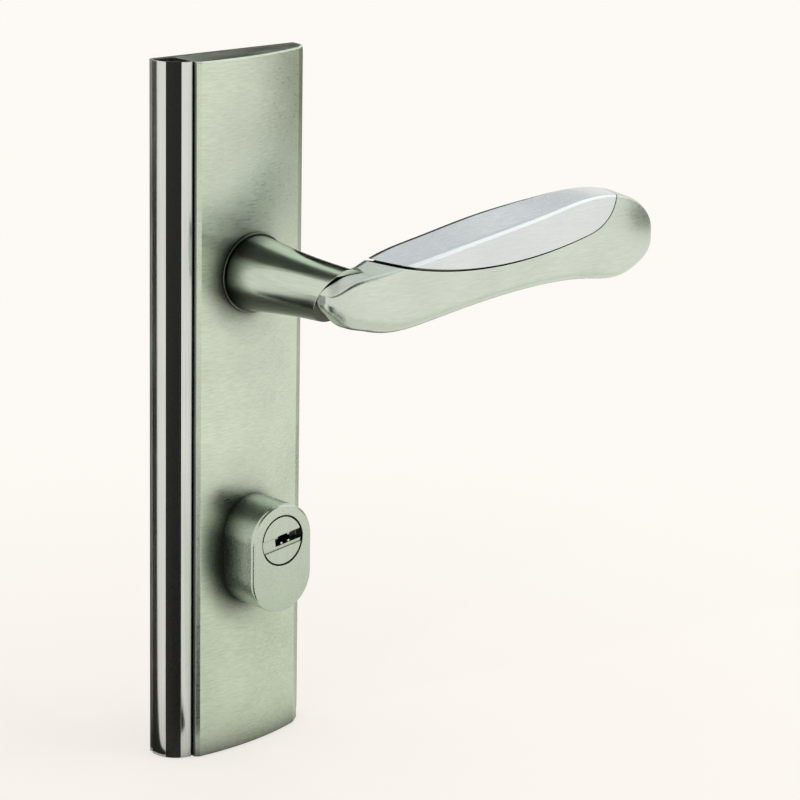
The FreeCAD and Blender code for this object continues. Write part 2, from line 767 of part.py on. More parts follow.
# profile cylinder: the plug turns, the rest stays
NOSE = "(guard_front - guard_lip)"
CAM_BACK = "(0 - cam_centre - cam_width / 2)"
CAM_FRONT = "(0 - cam_centre + cam_width / 2)"
SLOT_FRONT = "(" + CAM_FRONT + " + 2 * cam_side_gap + clip_thickness)"
body_bar = profile_hole("cylinder_bar", "0", "0 - cylinder_reach", NOSE)
body_bore = rod("body_bore", "plug_radius + running_clearance", CAM_BACK + " - cam_side_gap", NOSE,
                "0", CYLINDER)
pivot_bore = rod("pivot_bore", "pivot_radius + running_clearance",
                 CAM_BACK + " - cam_side_gap - pivot_length - slip_clearance", CAM_BACK, "0", CYLINDER)
cam_room = block("cam_room", "0 - profile_radius", "profile_radius", CAM_BACK + " - cam_side_gap",
                 SLOT_FRONT + " + cam_side_gap", CYLINDER + " - cam_reach - 2 * cam_side_gap",
                 CYLINDER + " + profile_radius")
screw_hole = doc.addObject("Part::Cylinder", "cylinder_screw_hole")
bind(screw_hole, "Radius", "cylinder_screw_radius")
bind(screw_hole, "Height", "profile_web")
screw_hole.Placement = FreeCAD.Placement(FreeCAD.Vector(), FreeCAD.Rotation(FreeCAD.Vector(0, 1, 0), 90))
bind(screw_hole, "Placement.Base.x", "0 - " + WEB)
bind(screw_hole, "Placement.Base.y", "cam_centre")
bind(screw_hole, "Placement.Base.z", CYLINDER + " - cylinder_screw_drop")

pin_places = []
for row in ("pin_row_left", "pin_row_right"):
    for number in range(round(value("pin_count"))):
        pin_places.append((row, "(pin_first - pin_pitch * %d)" % number))
PIN_FOOT = CYLINDER + " - " + PROFILE_TAIL
SPRING_TOP = CYLINDER + " - plug_radius - driver_length"
CAP_TOP = PIN_FOOT + " + chamber_plug_length"


def tilted(name, *tools):
    """Tools turned together about the plug's axis by the plug's tilt."""
    item = fuse(name, *tools)
    item.Placement = FreeCAD.Placement(FreeCAD.Vector(), FreeCAD.Rotation(FreeCAD.Vector(0, -1, 0), 1))
    bind(item, "Placement.Rotation.Angle", "plug_tilt * 1deg")
    bind(item, "Placement.Base.x", CYLINDER + " * sin(plug_tilt)")
    bind(item, "Placement.Base.z", CYLINDER + " * (1 - cos(plug_tilt))")
    return item


def pin_row(name, radius, low, high):
    """One upright bar at every pin's place."""
    return fuse(name, *[upright("%s%d" % (name, number), radius, low, high, across, depth)
                        for number, (across, depth) in enumerate(pin_places)])


chambers = pin_row("chambers", "pin_radius + running_clearance", PIN_FOOT, CYLINDER + " + keyway_low / 2")
node(cut("cylinder_cut", body_bar, body_bore, pivot_bore, cam_room, screw_hole, chambers), "cylinder_body")

plug_head = rod("plug_head", "plug_head_radius", NOSE, "guard_front - plug_front_step", "0", CYLINDER)
plug_bar = rod("plug_bar", "plug_radius", CAM_BACK + " + cam_side_gap", NOSE, "0", CYLINDER)
plug_pivot = rod("plug_pivot", "pivot_radius", CAM_BACK + " - cam_side_gap - pivot_length",
                 CAM_BACK + " + cam_side_gap", "0", CYLINDER)
plug_blank = fuse("plug_blank", plug_head, plug_bar, plug_pivot)
KEY_END = "(guard_front - keyway_depth)"
keyway_slot = block("keyway_slot", "keyway_left", "keyway_right", KEY_END, "guard_front",
                    CYLINDER + " + keyway_low", CYLINDER + " + keyway_middle")
keyway_rib = block("keyway_rib", "keyway_ward", "ward_place", KEY_END, "guard_front",
                   CYLINDER + " + keyway_middle", CYLINDER + " + keyway_high")
keyway_side = block("keyway_side", "ward_place + ward_width", "keyway_right - slip_clearance", KEY_END,
                    "guard_front", CYLINDER + " + keyway_middle", CYLINDER + " + keyway_high")
keyway_mouth = block("keyway_mouth", "keyway_right - slip_clearance", "plug_head_radius + slip_clearance",
                     NOSE + " + slip_clearance", "guard_front", CYLINDER + " + keyway_low",
                     CYLINDER + " + keyway_high")
band = block("plug_band", "0 - plug_head_radius", "plug_head_radius",
             "guard_front - plug_front_step - band_depth", "guard_front",
             CYLINDER + " + band_low", CYLINDER + " + band_high")
CLIP_BACK = "(" + CAM_FRONT + " + cam_side_gap)"
CLIP_FRONT = "(" + CLIP_BACK + " + clip_thickness)"
clip_bar = rod("clip_bar", "profile_radius", CLIP_BACK, CLIP_FRONT, "0", CYLINDER)
clip_hole = rod("clip_hole", "plug_radius - clip_groove", CLIP_BACK, CLIP_FRONT, "0", CYLINDER)
clip_mouth = block("clip_mouth", "0 - plug_radius / 2", "plug_radius / 2", CLIP_BACK, CLIP_FRONT,
                   CYLINDER, CYLINDER + " + profile_radius")
plug_groove = cut("plug_groove", clip_bar, clip_hole)
drill_pins = []
for number in range(2):
    across = "drill_pin_left + drill_pin_pitch * %d" % number
    drill_pins.append(upright("drill_pin%d" % number, "drill_pin_radius",
                              CYLINDER + " + keyway_low - drill_pin_length",
                              CYLINDER + " + keyway_low + drill_pin_tip", across,
                              "guard_front - drill_pin_inset"))
plug_cuts = tilted("plug_cuts", keyway_slot, keyway_rib, keyway_side, keyway_mouth, band)
tilted_pins = tilted("tilted_pins", *drill_pins)
node(cut("plug_cut", plug_blank, plug_cuts, tilted_pins, plug_groove, chambers), "cylinder_plug")
node(tilted_pins, "drill_guard_pins")
clip_blank = rod("clip_blank", "profile_radius - slip_clearance", CLIP_BACK, CLIP_FRONT, "0", CYLINDER)
node(cut("clip_cut", clip_blank, clip_hole, clip_mouth), "plug_clip")

key_bars = pin_row("key_bar", "pin_radius", PIN_FOOT, CYLINDER + " + keyway_low + pin_tip")
key_room = rod("key_room", "plug_radius", "0", NOSE, "0", CYLINDER)
node(common("key_pin_set", key_bars, key_room), "key_pins")
driver_bars = pin_row("driver_bar", "pin_radius", SPRING_TOP, CYLINDER)
driver_room = rod("driver_room", "plug_radius + running_clearance", "0", NOSE, "0", CYLINDER)
node(cut("driver_pin_set", driver_bars, driver_room), "driver_pins")
spring_bars = pin_row("spring_bar", "pin_radius", CAP_TOP, SPRING_TOP)
spring_cores = pin_row("spring_core", "pin_radius - pin_spring_wall", CAP_TOP, SPRING_TOP)
node(cut("pin_spring_set", spring_bars, spring_cores), "pin_springs")
cap_bars = pin_row("cap_bar", "pin_radius + running_clearance", PIN_FOOT, CAP_TOP)
node(common("chamber_plug_set", cap_bars, body_bar), "chamber_plugs")

cam_ring = rod("cam_ring", "cam_ring_radius", CAM_BACK + " + cam_side_gap", CAM_FRONT, "0", CYLINDER)
cam_nose = block("cam_nose", "0 - cam_half_width", "cam_half_width", CAM_BACK + " + cam_side_gap",
                 CAM_FRONT, CYLINDER + " - cam_reach", CYLINDER)
cam_limit = rod("cam_limit", "cam_reach", CAM_BACK, CAM_FRONT, "0", CYLINDER)
cam_lobe = common("cam_lobe", cam_nose, cam_limit)
cam_eye = rod("cam_eye", "plug_radius", CAM_BACK, CAM_FRONT, "0", CYLINDER)
node(cut("cam_cut", fuse("cam_blank", cam_ring, cam_lobe), cam_eye), "cylinder_cam")

# guard: an oval block seated on the crowned cover
guard_corners = [
    ("guard_radius", CYLINDER),
    ("0 - guard_radius", CYLINDER),
    ("0 - guard_radius", CYLINDER + " - guard_drop"),
    ("guard_radius", CYLINDER + " - guard_drop"),
]
guard_body = doc.addObject("PartDesign::Body", "guard_blank")
guard_sketch = sketch_in(guard_body, "guard_outline", "XZ_Plane", "base_thickness")
HALF_TURN = "(guard_radius + 0.0001)"
outline(guard_sketch, guard_corners, {0: (HALF_TURN, -1), 2: (HALF_TURN, -1)})
guard_pad = guard_body.newObject("PartDesign::Pad", "guard_pad")
guard_pad.Profile = guard_sketch
bind(guard_pad, "Length", "guard_front - base_thickness")


def is_guard_rim(edge):
    return edge.BoundBox.YLength < 0.01 and abs(edge.BoundBox.YMin + value("guard_front")) < 0.01


round_edges(guard_body, "guard_rim", "guard_fillet", is_guard_rim)
guard_profile = profile_hole("guard_profile", "profile_clearance", "base_thickness",
                             NOSE + " + slip_clearance")
guard_window = rod("guard_window", "plug_head_radius + guard_gap", NOSE, "guard_front", "0",
                   CYLINDER)
node(cut("guard_cut", guard_body, cover_skin, guard_profile, guard_window, *guard_screws), "cylinder_guard")


# lever
def station_section(body, name, station, inset):
    """Rounded section of the lever at one station, drawn smaller by an inset."""
    sketch = sketch_in(body, name, "YZ_Plane", station + "_across")
    half_depth = "(" + station + "_half_depth - " + inset + ")"
    half_height = "(" + station + "_half_height - " + inset + ")"
    front = "(0 - lever_depth - " + half_depth + ")"
    back = "(0 - lever_depth + " + half_depth + ")"
    top = "(" + station + "_middle + " + half_height + ")"
    crest = "(" + top + " - " + station + "_drop)"
    bottom = "(" + station + "_middle - " + half_height + ")"
    ridge = "(min(" + half_depth + "; " + half_height + ") * ridge_share)"
    bend = "(min(" + half_depth + "; " + half_height + ") * round_share)"
    corners = [
        (front + " + " + ridge, crest),
        (back + " - " + bend, top),
        (back, top + " - " + bend),
        (back, bottom + " + " + bend),
        (back + " - " + bend, bottom),
        (front + " + " + bend, bottom),
        (front, bottom + " + " + bend),
        (front, crest + " - " + ridge),
    ]
    arcs = {1: (bend, 1), 2: ("lever_face_radius", 1), 3: (bend, 1), 5: (bend, 1),
            6: ("lever_face_radius", 1), 7: (ridge, 1)}
    outline(sketch, corners, arcs)
    return sketch


def lever_form(name, inset):
    """Smooth form through all the lever's stations."""
    body = doc.addObject("PartDesign::Body", name)
    sections = [station_section(body, name + "_" + station, station, inset) for station in STATIONS]
    loft = body.newObject("PartDesign::AdditiveLoft", name + "_loft")
    loft.Profile = sections[0]
    loft.Sections = sections[1:]
    return body


def cap_region(name, gap):
    """Everything above the cap's lower edge, as a bar through the lever; a gap lowers that edge."""
    high = "(middle_middle + 2 * middle_half_height)"
    corners = [
        ("cap_start - " + gap, high),
        ("cap_start - " + gap, "cap_start_height - cap_gap_flare * " + gap),
        ("cap_bend", "cap_bend_height - " + gap),
        ("cap_end + " + gap, "cap_end_height"),
        ("cap_end + " + gap, high),
    ]
    arcs = {1: ("cap_sweep_radius + " + gap, -1), 2: ("cap_curl_radius + " + gap, -1)}
    return pad(name, "XZ_Plane", corners, arcs, "neck_start", "2 * lever_depth")


lever_outer = lever_form("lever_outer", "0")
lever_core = lever_form("lever_core", "cap_thickness")
cap_bar = cap_region("cap_bar_region", "0")
cap_groove = cap_region("cap_groove_region", "cap_gap")
node(cut("cap_cut", common("cap_blank", lever_outer, cap_bar), lever_core), "lever_cap")
cap_bed = cut("cap_bed", cap_groove, lever_core)
heel_corners = [
    ("heel_cut_right", "0 - mitre_reach"),
    ("heel_cut_right", "heel_cut_height"),
    ("heel_cut_right + heel_cut_step", "heel_cut_height + heel_cut_step"),
    ("heel_cut_right + heel_cut_step", "mitre_reach"),
    ("0 - mitre_reach", "mitre_reach"),
    ("0 - mitre_reach", "0 - mitre_reach"),
]
heel_bar = pad("heel_bar", "XZ_Plane", heel_corners, None, "neck_start", "2 * lever_depth")
heel_room = common("heel_room", heel_bar, mitre_region("heel_back", "joint_gap", "neck_start"))
lever_trimmed = cut("lever_trimmed", lever_outer, cap_bed, neck_solid, heel_room)
lever_spigot = rod("lever_spigot", "spigot_radius", SOCKET + " + slip_clearance",
                   "lever_depth + spigot_overrun")
lever_blank = fuse("lever_blank", lever_trimmed, lever_spigot)
node(cut("lever_cut", lever_blank, joint_screw), "lever_body")


def check_and_write():
    """Stop on any failed object, then write one file for each piece."""
    doc.recompute()
    spring = doc.addObject("Part::Feature", "spring_wire")
    spring.Shape = spring_shape()
    node(spring, "return_spring")
    failed = [item.Name for item in doc.Objects if "Invalid" in item.State or "Error" in item.State]
    if failed:
        raise RuntimeError("failed objects: " + ", ".join(failed))
    for item in nodes:
        shape = item.Shape
        if shape.isNull() or not shape.isValid() or not shape.Solids:
            raise RuntimeError("bad shape: " + item.Label)
        shape.exportStep(os.path.join("parts", item.Label + ".step"))
        print("%-20s %2d solids %9.1f mm3" % (item.Label, len(shape.Solids), shape.Volume))


check_and_write()
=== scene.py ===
import math

import bpy
from mathutils import Matrix, Vector


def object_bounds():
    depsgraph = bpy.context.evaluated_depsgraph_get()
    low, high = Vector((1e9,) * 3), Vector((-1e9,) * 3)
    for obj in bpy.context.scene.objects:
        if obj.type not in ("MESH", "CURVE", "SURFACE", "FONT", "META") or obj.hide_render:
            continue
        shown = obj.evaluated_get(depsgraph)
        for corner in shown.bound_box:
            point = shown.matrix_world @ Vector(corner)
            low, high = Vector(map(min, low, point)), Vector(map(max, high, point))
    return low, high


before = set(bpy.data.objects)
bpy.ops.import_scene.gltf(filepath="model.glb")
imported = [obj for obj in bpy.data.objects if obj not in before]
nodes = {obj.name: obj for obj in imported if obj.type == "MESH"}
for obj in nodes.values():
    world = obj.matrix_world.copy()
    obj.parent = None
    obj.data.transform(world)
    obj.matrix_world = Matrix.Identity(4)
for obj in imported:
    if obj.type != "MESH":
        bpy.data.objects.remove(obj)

# Looks for the plate handle lockset. Metres; +X right across the plate, -Y towards the hand, +Z up.
# Every shape of the object is a CAD node: this script gives the nodes materials and adds the stage.
cad_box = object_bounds()
scene = bpy.context.scene

RAYS = 6  # samples of each recess and edge lookup


# ---------------------------------------------------------------- node trees
class Tree:
    """Adds nodes to a material or world and links them."""

    def __init__(self, owner):
        owner.use_nodes = True
        self.tree = owner.node_tree
        self.tree.nodes.clear()

    def add(self, kind, **settings):
        item = self.tree.nodes.new(kind)
        for word, setting in settings.items():
            setattr(item, word, setting)
        return item

    def put(self, socket, source):
        """Link a socket to another one, or set its own value."""
        if isinstance(source, bpy.types.NodeSocket):
            self.tree.links.new(source, socket)
        else:
            socket.default_value = source

    def math(self, operation, *sources, clamp=False):
        item = self.add("ShaderNodeMath", operation=operation, use_clamp=clamp)
        for socket, source in zip(item.inputs, sources):
            self.put(socket, source)
        return item.outputs[0]

    def vector(self, operation, *sources):
        item = self.add("ShaderNodeVectorMath", operation=operation)
        for socket, source in zip(item.inputs, sources):
            self.put(socket, source)
        return item.outputs["Value"] if operation in ("DOT_PRODUCT", "LENGTH") else item.outputs[0]

    def span(self, source, low, high, to_low=0.0, to_high=1.0, smooth=False):
        """Map a value from one range to another and keep it inside the second."""
        kind = "SMOOTHSTEP" if smooth else "LINEAR"
        item = self.add("ShaderNodeMapRange", interpolation_type=kind)
        for number, number_source in enumerate((source, low, high, to_low, to_high)):
            self.put(item.inputs[number], number_source)
        return item.outputs[0]

    def mix(self, amount, first, second, blend="MIX"):
        item = self.add("ShaderNodeMix", data_type="RGBA", blend_type=blend)
        self.put(item.inputs["Factor"], amount)
        self.put(item.inputs[6], first)
        self.put(item.inputs[7], second)
        return item.outputs[2]

    def tinted(self, colour, tone):
        """A colour made lighter or darker by a value."""
        grey = self.add("ShaderNodeCombineXYZ")
        for socket in grey.inputs:
            self.put(socket, tone)
        return self.mix(1.0, colour, grey.outputs[0], "MULTIPLY")

    def place(self, scale=(1, 1, 1)):
        """Position on the object, stretched per axis."""
        where = self.add("ShaderNodeTexCoord").outputs["Object"]
        return self.vector("MULTIPLY", where, scale)

    def recess(self, distance, lean=None):
        """One on open surfaces, less where something stands within a distance.

        A lean, in the object's own axes, makes what stands on that side count most.
        """
        item = self.add("ShaderNodeAmbientOcclusion", samples=RAYS)
        self.put(item.inputs["Distance"], distance)
        if lean:
            true = self.add("ShaderNodeNewGeometry").outputs["Normal"]
            turned = self.add("ShaderNodeVectorTransform", vector_type="VECTOR",
                              convert_from="OBJECT", convert_to="WORLD")
            self.put(turned.inputs[0], lean)
            leaning = self.vector("ADD", true, turned.outputs[0])
            self.put(item.inputs["Normal"], self.vector("NORMALIZE", leaning))
        return item.outputs["AO"]

    def noise(self, where, scale, detail=2.0, roughness=0.5):
        item = self.add("ShaderNodeTexNoise")
        self.put(item.inputs["Vector"], where)
        self.put(item.inputs["Scale"], scale)
        self.put(item.inputs["Detail"], detail)
        self.put(item.inputs["Roughness"], roughness)
        return item.outputs["Fac"]

    def bump(self, strength, distance, height):
        item = self.add("ShaderNodeBump")
        self.put(item.inputs["Strength"], strength)
        self.put(item.inputs["Distance"], distance)
        self.put(item.inputs["Height"], height)
        return item

    def surface(self, shader):
        self.put(self.add("ShaderNodeOutputMaterial").inputs["Surface"], shader.outputs[0])


def rgb(red, green, blue):
    """Colour given as 0 to 255 on screen, turned to linear light."""
    out = []
    for part in (red, green, blue):
        part /= 255
        out.append(part / 12.92 if part <= 0.04045 else ((part + 0.055) / 1.055) ** 2.4)
    return (*out, 1.0)


# ---------------------------------------------------------------- metal and plastic
# noise of the grain and of the clouds of tone: range of values in use, then detail and roughness
GRAIN_RANGE = (0.25, 0.75)
GRAIN_NOISE = (3.0, 0.6)
CLOUD_RANGE = (0.3, 0.7)
CLOUD_NOISE = (3.0, 0.55)
CLOUD_SCALE = 28.0
METAL_BUMP = 0.00004
PLASTIC_BUMP = 0.00005

# how far each painted shade reaches from what casts it, and the side it leans to
NARROW_REACH = 0.005
WIDE_REACH = 0.03
LEE_REACH, LEE_LEAN = 0.013, (0.8, 0, 0.12)
ROOT_REACH, ROOT_LEAN = 0.014, (0, 0.8, 0)

WORN_METAL = rgb(232, 234, 226)
# colours of painted shade
WIDE_SHADE_TONE = rgb(70, 74, 60)
NARROW_SHADE_TONE = rgb(16, 17, 12)
LEE_AND_ROOT_SHADE_TONE = rgb(12, 13, 9)
UNDERSIDE_SHADE_TONE = rgb(40, 45, 32)


def metal(name, colour, rough, grain, grain_scale, grain_depth, cloud, wear, edge,
          anisotropic=0.0, recess_shade=0.35, underside_shade=0.0, lee_shadow=0.0, root_shade=0.0):
    """Metal with directional grain, soft clouds of tone, worn bright edges, painted recess shade.

    The last three settings paint shade: on the underside, in the lee of what stands on the
    face, and as a dark ring where the piece rises out of the face.
    """
    material = bpy.data.materials.new(name)
    t = Tree(material)
    shader = t.add("ShaderNodeBsdfPrincipled")
    fine = t.noise(t.place(grain), grain_scale, *GRAIN_NOISE)
    soft = t.noise(t.place(), CLOUD_SCALE, *CLOUD_NOISE)
    tone = t.span(fine, *GRAIN_RANGE, 1 - cloud * 1.2, 1 + cloud * 0.6)
    tone = t.math("MULTIPLY", tone, t.span(soft, *CLOUD_RANGE, 1 - cloud, 1 + cloud * 0.5))
    shaded = t.tinted(colour, tone)
    # edges: where the rounded normal leaves the true one
    bevel = t.add("ShaderNodeBevel", samples=RAYS)
    t.put(bevel.inputs["Radius"], edge)
    true = t.add("ShaderNodeNewGeometry").outputs["Normal"]
    at_edge = t.span(t.vector("DOT_PRODUCT", bevel.outputs[0], true), 0.97, 0.8)
    rub = t.math("MULTIPLY", at_edge, t.span(soft, 0.35, 0.6, 0.4, 1.0))
    rub = t.math("MULTIPLY", rub, wear, clamp=True)
    shaded = t.mix(rub, shaded, WORN_METAL)
    # painted shade in recesses: narrow ones strongly, wide ones a little
    deep = t.span(t.recess(NARROW_REACH), 0.8, 0.2, 0.0, recess_shade)
    wide = t.span(t.recess(WIDE_REACH), 0.95, 0.3, 0.0, recess_shade * 0.6)
    shaded = t.mix(wide, shaded, WIDE_SHADE_TONE)
    shaded = t.mix(deep, shaded, NARROW_SHADE_TONE)
    # painted shadow in the lee of what stands on the face
    if lee_shadow:
        lee = t.span(t.recess(LEE_REACH, LEE_LEAN), 0.83, 0.4, 0.0, lee_shadow, smooth=True)
        shaded = t.mix(lee, shaded, LEE_AND_ROOT_SHADE_TONE)
    # painted shade: a dark ring where the piece rises out of the face
    if root_shade:
        ring = t.span(t.recess(ROOT_REACH, ROOT_LEAN), 0.75, 0.35, 0.0, root_shade, smooth=True)
        shaded = t.mix(ring, shaded, LEE_AND_ROOT_SHADE_TONE)
    if underside_shade:
        # painted shade on the underside; the normal is the object's own, so the shade turns with
        # the piece
        own = t.add("ShaderNodeTexCoord").outputs["Normal"]
        slope = t.vector("DOT_PRODUCT", own, (0, 0, -1))
        down = t.span(slope, 0.2, 0.55, 0.0, underside_shade, smooth=True)
        shaded = t.mix(down, shaded, UNDERSIDE_SHADE_TONE)
    t.put(shader.inputs["Base Color"], shaded)
    # the grain and the clouds also change the gloss, and narrow recesses are duller
    rough_now = t.span(fine, *GRAIN_RANGE, rough * 0.82, rough * 1.18)
    rough_now = t.math("ADD", rough_now, t.span(soft, *CLOUD_RANGE, -0.02, 0.03))
    rough_now = t.math("ADD", rough_now, t.math("MULTIPLY", deep, 0.3), clamp=True)
    t.put(shader.inputs["Roughness"], rough_now)
    shader.inputs["Metallic"].default_value = 1.0
    shader.inputs["Anisotropic"].default_value = anisotropic
    if anisotropic:
        run = t.add("ShaderNodeTangent", direction_type="RADIAL", axis="Z")
        t.put(shader.inputs["Tangent"], run.outputs[0])
    bump = t.bump(grain_depth, METAL_BUMP, fine)
    t.put(bump.inputs["Normal"], bevel.outputs[0])
    t.put(shader.inputs["Normal"], bump.outputs[0])
    t.surface(shader)
    return material


def plastic(name, colour, rough, speckle=0.15, scale=700.0, depth=0.3, gloss=0.5):
    """Moulded plastic or black enamel with a faint orange peel and speckle."""
    material = bpy.data.materials.new(name)
    t = Tree(material)
    shader = t.add("ShaderNodeBsdfPrincipled")
    fine = t.noise(t.place(), scale, 3.0, 0.6)
    soft = t.noise(t.place(), 40.0, 2.0)
    tone = t.math("MULTIPLY", t.span(fine, 0.3, 0.7, 1 - speckle, 1 + speckle * 2),
                  t.span(soft, 0.3, 0.7, 0.9, 1.1))
    t.put(shader.inputs["Base Color"], t.tinted(colour, tone))
    rough_now = t.span(fine, 0.3, 0.7, rough * 0.85, min(rough * 1.15, 1.0))
    t.put(shader.inputs["Roughness"], rough_now)
    shader.inputs["Specular IOR Level"].default_value = gloss
    t.put(shader.inputs["Normal"], t.bump(depth, PLASTIC_BUMP, fine).outputs[0])
    t.surface(shader)
    return material


# ---------------------------------------------------------------- materials of the part
# the grain is stretched along the axis whose factor is small
EVEN = (1, 1, 1)
BRUSHED_ACROSS = (0.14, 1.0, 1.0)
DRAWN_ACROSS = (0.1, 1, 1)

satin_face = metal("satin_face", rgb(216, 228, 211), rough=0.31, grain=BRUSHED_ACROSS,
                   grain_scale=1700.0, grain_depth=0.4, cloud=0.13, wear=0.5, edge=0.00035,
                   anisotropic=0.35, recess_shade=0.7, lee_shadow=0.92)
satin_edge = metal("satin_edge", rgb(180, 188, 172), rough=0.34, grain=(1, 1, 0.03),
                   grain_scale=1500.0, grain_depth=0.3, cloud=0.08, wear=0.5, edge=0.0003)
polished_bead = metal("polished_bead", rgb(216, 221, 218), rough=0.16, grain=(1, 1, 0.02),
                      grain_scale=1200.0, grain_depth=0.2, cloud=0.06, wear=0.4, edge=0.0003,
                      recess_shade=0.7)
satin_neck = metal("satin_neck", rgb(206, 219, 204), rough=0.16, grain=(1, 0.04, 1),
                   grain_scale=1200.0, grain_depth=0.2, cloud=0.08, wear=0.5, edge=0.0004,
                   recess_shade=0.85, underside_shade=0.9, root_shade=0.8)
satin_lever = metal("satin_lever", rgb(214, 225, 214), rough=0.3, grain=DRAWN_ACROSS,
                    grain_scale=1600.0, grain_depth=0.25, cloud=0.09, wear=0.5, edge=0.0004,
                    recess_shade=0.7)
bright_cap = metal("bright_cap", rgb(225, 232, 233), rough=0.24, grain=DRAWN_ACROSS,
                   grain_scale=1600.0, grain_depth=0.15, cloud=0.06, wear=0.4, edge=0.00025)
satin_guard = metal("satin_guard", rgb(200, 212, 198), rough=0.25, grain=EVEN,
                    grain_scale=1800.0, grain_depth=0.3, cloud=0.09, wear=0.5, edge=0.0005,
                    recess_shade=0.45)
turned_plug = metal("turned_plug", rgb(200, 210, 198), rough=0.26, grain=(1, 1, 0.05),
                    grain_scale=1500.0, grain_depth=0.25, cloud=0.07, wear=0.5, edge=0.00025,
                    recess_shade=0.9)
# the collar is made darker to paint the shade in the gap round the neck's root
collar_painted_shade = metal("collar_painted_shade", rgb(120, 126, 112), rough=0.22, grain=EVEN,
                    grain_scale=1500.0, grain_depth=0.2, cloud=0.07, wear=0.6, edge=0.0003,
                    recess_shade=0.9)
black_strip = plastic("black_strip", rgb(9, 10, 7), rough=0.5, speckle=1.2, scale=1500.0,
                      depth=0.9, gloss=0.3)
brass = metal("brass", rgb(205, 178, 112), rough=0.34, grain=EVEN,
              grain_scale=1500.0, grain_depth=0.25, cloud=0.09, wear=0.4, edge=0.0002)
steel = metal("steel", rgb(178, 180, 180), rough=0.32, grain=(1, 0.05, 1),
              grain_scale=1500.0, grain_depth=0.3, cloud=0.09, wear=0.45, edge=0.0003)
zinc = metal("zinc", rgb(192, 194, 196), rough=0.42, grain=EVEN,
             grain_scale=1200.0, grain_depth=0.35, cloud=0.1, wear=0.4, edge=0.0003)
spring_wire = metal("spring_wire", rgb(150, 150, 150), rough=0.28, grain=EVEN,
                    grain_scale=1500.0, grain_depth=0.3, cloud=0.08, wear=0.3, edge=0.0001)
hard_pin = metal("hard_pin", rgb(232, 232, 224), rough=0.16, grain=EVEN,
                 grain_scale=1500.0, grain_depth=0.2, cloud=0.05, wear=0.4, edge=0.0001)
bush_plastic = plastic("bush_plastic", rgb(226, 222, 208), rough=0.5)

FINISH = {
    "cover_plate": satin_face, "base_plate": satin_edge, "bead_insert": black_strip,
    "edge_bead": polished_bead, "cover_screws": zinc, "bead_screws": zinc, "guard_screws": zinc,
    "bolt_posts": steel, "neck_collar": collar_painted_shade, "neck_bush": bush_plastic,
    "handle_neck": satin_neck, "spindle": steel, "spindle_grub_screw": steel,
    "lever_joint_screw": zinc, "thrust_washer": steel, "retaining_ring": spring_wire,
    "spring_housing": zinc, "stop_pins": steel, "drive_disc": zinc, "cylinder_body": brass,
    "cylinder_plug": turned_plug, "drill_guard_pins": hard_pin, "plug_clip": spring_wire,
    "key_pins": hard_pin, "driver_pins": brass, "pin_springs": spring_wire,
    "chamber_plugs": brass, "cylinder_cam": steel, "cylinder_guard": satin_guard,
    "lever_cap": bright_cap, "lever_body": satin_lever, "return_spring": spring_wire,
}
for name, finish in FINISH.items():
    item = nodes[name]
    if not item.data.materials:
        item.data.materials.append(None)
    for item_slot in item.material_slots:
        item_slot.link = "OBJECT"
        item_slot.material = finish

# ---------------------------------------------------------------- floor and backdrop
PAPER = rgb(253, 249, 244)
PAPER_FLECK = rgb(240, 238, 230)
LOW = cad_box[0][2] - 0.0002  # the floor, a hair below the object
HALF_FLOOR = 9
SHADOW_NEAR, SHADOW_FAR = 0.08, 0.45  # between these distances the floor turns into even tone
NEAR_GLOW = 0.65  # share of even tone close to the object, which leaves its shadow to be seen


def seen(t):
    """One for rays that show a surface: from the camera, in a mirror or through something clear."""
    path = t.add("ShaderNodeLightPath").outputs
    shown = t.math("ADD", path["Is Camera Ray"], path["Is Glossy Ray"])
    return t.math("ADD", shown, path["Is Transmission Ray"], clamp=True)


def floor_material():
    """Pale paper that takes the object's shadow near it and runs out into an even tone.

    It is clear from below, so that views from there see the object.
    """
    material = bpy.data.materials.new("pale_floor")
    t = Tree(material)
    paper = t.add("ShaderNodeBsdfPrincipled")
    grain = t.noise(t.place(), 60.0, 3.0)
    fleck = t.span(grain, 0.3, 0.7, 0.0, 0.03)
    t.put(paper.inputs["Base Color"], t.mix(fleck, PAPER, PAPER_FLECK))
    paper.inputs["Roughness"].default_value = 0.9
    glow = t.add("ShaderNodeEmission")
    t.put(glow.inputs["Color"], PAPER)
    from_object = t.vector("LENGTH", t.place((1, 1, 0)))
    away = t.span(from_object, SHADOW_NEAR, SHADOW_FAR, NEAR_GLOW, 1.0, smooth=True)
    spread = t.add("ShaderNodeMixShader")
    t.put(spread.inputs[0], t.math("MULTIPLY", away, seen(t)))
    t.put(spread.inputs[1], paper.outputs[0])
    t.put(spread.inputs[2], glow.outputs[0])
    clear = t.add("ShaderNodeBsdfTransparent")
    choose = t.add("ShaderNodeMixShader")
    t.put(choose.inputs[0], t.add("ShaderNodeNewGeometry").outputs["Backfacing"])
    t.put(choose.inputs[1], spread.outputs[0])
    t.put(choose.inputs[2], clear.outputs[0])
    t.surface(choose)
    return material


def flat_piece(name, corners, material):
    """Piece of the stage with one face."""
    mesh = bpy.data.meshes.new(name)
    mesh.from_pydata(corners, [], [tuple(range(len(corners)))])
    item = bpy.data.objects.new(name, mesh)
    item.data.materials.append(material)
    scene.collection.objects.link(item)
    return item


flat_piece("floor", [(-HALF_FLOOR, -HALF_FLOOR, LOW), (HALF_FLOOR, -HALF_FLOOR, LOW),
                     (HALF_FLOOR, HALF_FLOOR, LOW), (-HALF_FLOOR, HALF_FLOOR, LOW)],
           floor_material())


